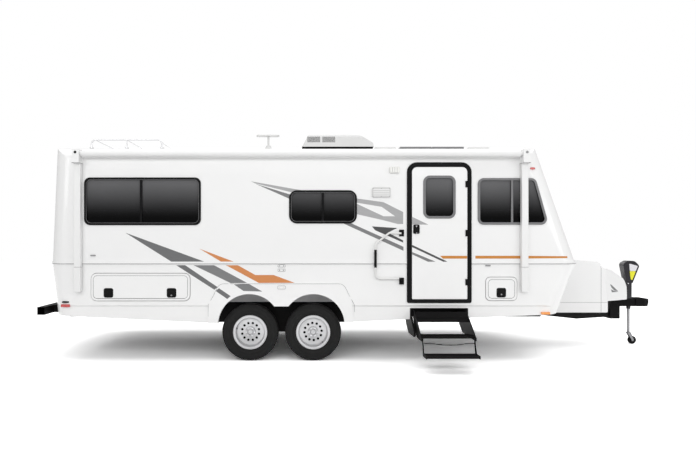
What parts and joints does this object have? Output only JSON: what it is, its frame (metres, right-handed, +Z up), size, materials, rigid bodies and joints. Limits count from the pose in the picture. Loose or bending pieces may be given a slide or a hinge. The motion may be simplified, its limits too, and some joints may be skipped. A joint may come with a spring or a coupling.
{
  "type": "travel caravan trailer",
  "caption": "Twin-axle travel caravan with moulded white shell, entry door, folding steps, roof gear, awning and tongue jack.",
  "frame": {"origin": "centre of the ball socket in the tongue coupler", "axes": "+X forward, from the body towards the hitch; +Y to the off side, away from the entry door; +Z up"},
  "size_m": [8.612, 3.104, 3.066],
  "materials": {
    "white_gelcoat": "gloss white moulded fibreglass",
    "floor_ply": "sealed plywood",
    "well_liner": "moulded grey liner",
    "chassis_black": "black chassis paint",
    "frame_black": "satin black",
    "tinted_glass": "dark privacy glass",
    "white_metal": "white powder coat",
    "pale_plastic": "white plastic",
    "handle_metal": "polished steel tube",
    "solar_glass": "dark cells under glass",
    "rack_metal": "bright aluminium tube",
    "jack_black": "black moulded cover",
    "chrome_tube": "plated tube",
    "zinc_grey": "grey plated steel",
    "caster_rubber": "black rubber",
    "lamp_lens": "clear and coloured lenses",
    "tyre_rubber": "black tyre rubber",
    "rim_silver": "bright silver"
  },
  "bodies": {
    "trailer": {"upper_shell": "white_gelcoat", "lower_shell": "white_gelcoat", "floor_deck": "floor_ply", "wheel_wells": "well_liner", "storage_boxes": "well_liner", "near_rail": "chassis_black", "far_rail": "chassis_black", "crossmembers": "chassis_black", "coupler": "chassis_black", "rear_bumper": "chassis_black", "axles": "chassis_black", "springs": "chassis_black", "window_frames": "frame_black", "window_glass": "tinted_glass", "door_frame": "frame_black", "awning_roller": "white_metal", "awning_arms": "white_metal", "handle_mounts": "frame_black", "step_housing": "chassis_black", "air_conditioner": "pale_plastic", "vent_bases": "pale_plastic", "antenna_mast": "pale_plastic", "solar_panels": "solar_glass", "roof_rack": "rack_metal", "rear_ladder": "rack_metal", "gas_cover": "white_gelcoat", "jack_body": "jack_black", "lamps": "lamp_lens", "side_vents": "pale_plastic"},
    "entry_door": {"entry_door": "white_gelcoat", "door_glass": "tinted_glass"},
    "rear_hatch": {"rear_hatch": "white_gelcoat"},
    "front_hatch": {"front_hatch": "white_gelcoat"},
    "off_side_hatch": {"off_side_hatch": "white_gelcoat"},
    "grab_handle": {"grab_handle": "handle_metal"},
    "upper_step": {"upper_step": "chassis_black"},
    "lower_step": {"lower_step": "chassis_black"},
    "mid_vent_lid": {"mid_vent_lid": "pale_plastic"},
    "front_vent_lid": {"front_vent_lid": "pale_plastic"},
    "antenna_head": {"antenna_head": "pale_plastic"},
    "jack_leg": {"jack_leg": "chrome_tube"},
    "caster_fork": {"caster_fork": "zinc_grey"},
    "caster_wheel": {"caster_wheel": "caster_rubber"},
    "wheel_near_rear": {"tyre_near_rear": "tyre_rubber", "rim_near_rear": "rim_silver"},
    "wheel_near_front": {"tyre_near_front": "tyre_rubber", "rim_near_front": "rim_silver"},
    "wheel_far_rear": {"tyre_far_rear": "tyre_rubber", "rim_far_rear": "rim_silver"},
    "wheel_far_front": {"tyre_far_front": "tyre_rubber", "rim_far_front": "rim_silver"}
  },
  "joints": [
    {"name": "spin_near_rear", "type": "hinge", "parent": "trailer", "child": "wheel_near_rear", "pos_m": [-5.776, -1.0275, -0.246], "axis": [0, 1, 0], "continuous": true},
    {"name": "spin_near_front", "type": "hinge", "parent": "trailer", "child": "wheel_near_front", "pos_m": [-4.964, -1.0275, -0.246], "axis": [0, 1, 0], "continuous": true},
    {"name": "spin_far_rear", "type": "hinge", "parent": "trailer", "child": "wheel_far_rear", "pos_m": [-5.776, 1.0275, -0.246], "axis": [0, 1, 0], "continuous": true},
    {"name": "spin_far_front", "type": "hinge", "parent": "trailer", "child": "wheel_far_front", "pos_m": [-4.964, 1.0275, -0.246], "axis": [0, 1, 0], "continuous": true},
    {"name": "entry_door_hinge", "type": "hinge", "parent": "trailer", "child": "entry_door", "pos_m": [-2.998, -1.242, 1.03], "axis": [0, 0, 1], "range_deg": [0, 110]},
    {"name": "rear_hatch_hinge", "type": "hinge", "parent": "trailer", "child": "rear_hatch", "pos_m": [-7.155, -1.232, 0.523], "axis": [-1, 0, 0], "range_deg": [0, 90]},
    {"name": "front_hatch_hinge", "type": "hinge", "parent": "trailer", "child": "front_hatch", "pos_m": [-2.58, -1.232, 0.474], "axis": [-1, 0, 0], "range_deg": [0, 90]},
    {"name": "off_side_hatch_hinge", "type": "hinge", "parent": "trailer", "child": "off_side_hatch", "pos_m": [-7.155, 1.232, 0.523], "axis": [1, 0, 0], "range_deg": [0, 90]},
    {"name": "grab_handle_swing", "type": "hinge", "parent": "trailer", "child": "grab_handle", "pos_m": [-3.846, -1.252, 0.728], "axis": [0, 0, 1], "range_deg": [0, 90]},
    {"name": "step_slide", "type": "slide", "parent": "trailer", "child": "upper_step", "axis": [0, 1, 0], "range_m": [0, 0.36]},
    {"name": "lower_step_fold", "type": "hinge", "parent": "upper_step", "child": "lower_step", "pos_m": [-3.36, -1.662, -0.238], "axis": [-1, 0, 0], "range_deg": [0, 165]},
    {"name": "mid_vent_hinge", "type": "hinge", "parent": "trailer", "child": "mid_vent_lid", "pos_m": [-3.722, 0, 2.272], "axis": [0, 1, 0], "range_deg": [0, 60]},
    {"name": "front_vent_hinge", "type": "hinge", "parent": "trailer", "child": "front_vent_lid", "pos_m": [-2.348, 0, 2.272], "axis": [0, 1, 0], "range_deg": [0, 60]},
    {"name": "antenna_swivel", "type": "hinge", "parent": "trailer", "child": "antenna_head", "pos_m": [-5.588, -0.35, 2.433], "axis": [0, 0, 1], "range_deg": [-175, 175]},
    {"name": "jack_travel", "type": "slide", "parent": "trailer", "child": "jack_leg", "axis": [0, 0, 1], "range_m": [-0.1, 0.25]},
    {"name": "caster_swivel", "type": "hinge", "parent": "jack_leg", "child": "caster_fork", "pos_m": [-0.22, 0, -0.435], "axis": [0, 0, 1], "continuous": true},
    {"name": "caster_spin", "type": "hinge", "parent": "caster_fork", "child": "caster_wheel", "pos_m": [-0.17, 0, -0.55], "axis": [0, 1, 0], "continuous": true}
  ]
}
